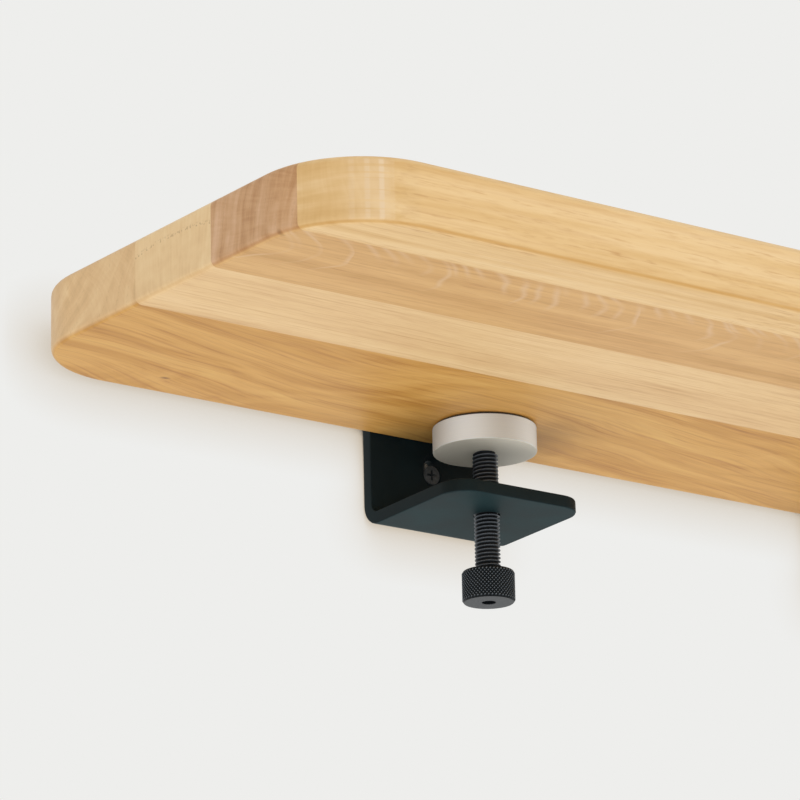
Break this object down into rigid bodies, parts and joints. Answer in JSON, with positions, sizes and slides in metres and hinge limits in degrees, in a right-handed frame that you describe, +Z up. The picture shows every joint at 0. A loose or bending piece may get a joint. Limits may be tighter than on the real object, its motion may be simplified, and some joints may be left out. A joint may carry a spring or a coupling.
{
  "type": "wall-mounted nightstand",
  "caption": "Wall-mounted bedside shelf: an oak board with rounded corners, gripped at its back edge by folded steel clamp brackets with knurled thumb screws.",
  "frame": {"origin": "on the wall's face, midway between the two brackets and level with the board's underside", "axes": "+Z up, +X along the board to the right as seen from the room, +Y into the wall"},
  "size_m": [0.61, 0.2444, 0.1005],
  "materials": {
    "oak_back": "oiled oak, darker wavy grain",
    "oak_third": "oiled oak, cream, straight grain",
    "oak_second": "oiled oak, pinkish with ray fleck",
    "oak_front": "oiled oak, light, fine straight grain",
    "powder_coat": "fine satin powder coat",
    "felt": "pressed felt",
    "satin_aluminium": "satin, turned",
    "rubber": "matt",
    "spring_steel": "oiled",
    "black_steel": "black oxide, satin",
    "screw_steel": "black zinc",
    "nylon": "moulded nylon"
  },
  "bodies": {
    "shelf": {"back_stave": "oak_back", "third_stave": "oak_third", "second_stave": "oak_second", "front_stave": "oak_front", "bracket_left": "powder_coat", "bracket_right": "powder_coat", "jaw_liner_left": "felt", "jaw_liner_right": "felt", "lower_wall_screw_left": "screw_steel", "lower_wall_screw_right": "screw_steel", "upper_wall_screw_left": "screw_steel", "upper_wall_screw_right": "screw_steel", "lower_wall_plug_left": "nylon", "lower_wall_plug_right": "nylon", "upper_wall_plug_left": "nylon", "upper_wall_plug_right": "nylon"},
    "disc_left": {"clamp_disc_left": "satin_aluminium", "disc_pad_left": "rubber"},
    "screw_left": {"clamp_rod_left": "black_steel", "knob_left": "black_steel", "retaining_clip_left": "spring_steel"},
    "disc_right": {"clamp_disc_right": "satin_aluminium", "disc_pad_right": "rubber"},
    "screw_right": {"clamp_rod_right": "black_steel", "knob_right": "black_steel", "retaining_clip_right": "spring_steel"}
  },
  "joints": [
    {"name": "disc_lift_left", "type": "slide", "parent": "shelf", "child": "disc_left", "axis": [0, 0, 1], "range_m": [-0.019, 0]},
    {"name": "knob_turn_left", "type": "hinge", "parent": "disc_left", "child": "screw_left", "pos_m": [-0.112, -0.0368, 0], "axis": [0, 0, 1], "range_deg": [-4565, 0]},
    {"name": "disc_lift_right", "type": "slide", "parent": "shelf", "child": "disc_right", "axis": [0, 0, 1], "range_m": [-0.019, 0]},
    {"name": "knob_turn_right", "type": "hinge", "parent": "disc_right", "child": "screw_right", "pos_m": [0.112, -0.0368, 0], "axis": [0, 0, 1], "range_deg": [-4565, 0]}
  ],
  "couplings": [
    {"joint": "knob_turn_left", "follows": "disc_lift_left", "rad_per_m": 4188.8},
    {"joint": "knob_turn_right", "follows": "disc_lift_right", "rad_per_m": 4188.8}
  ]
}
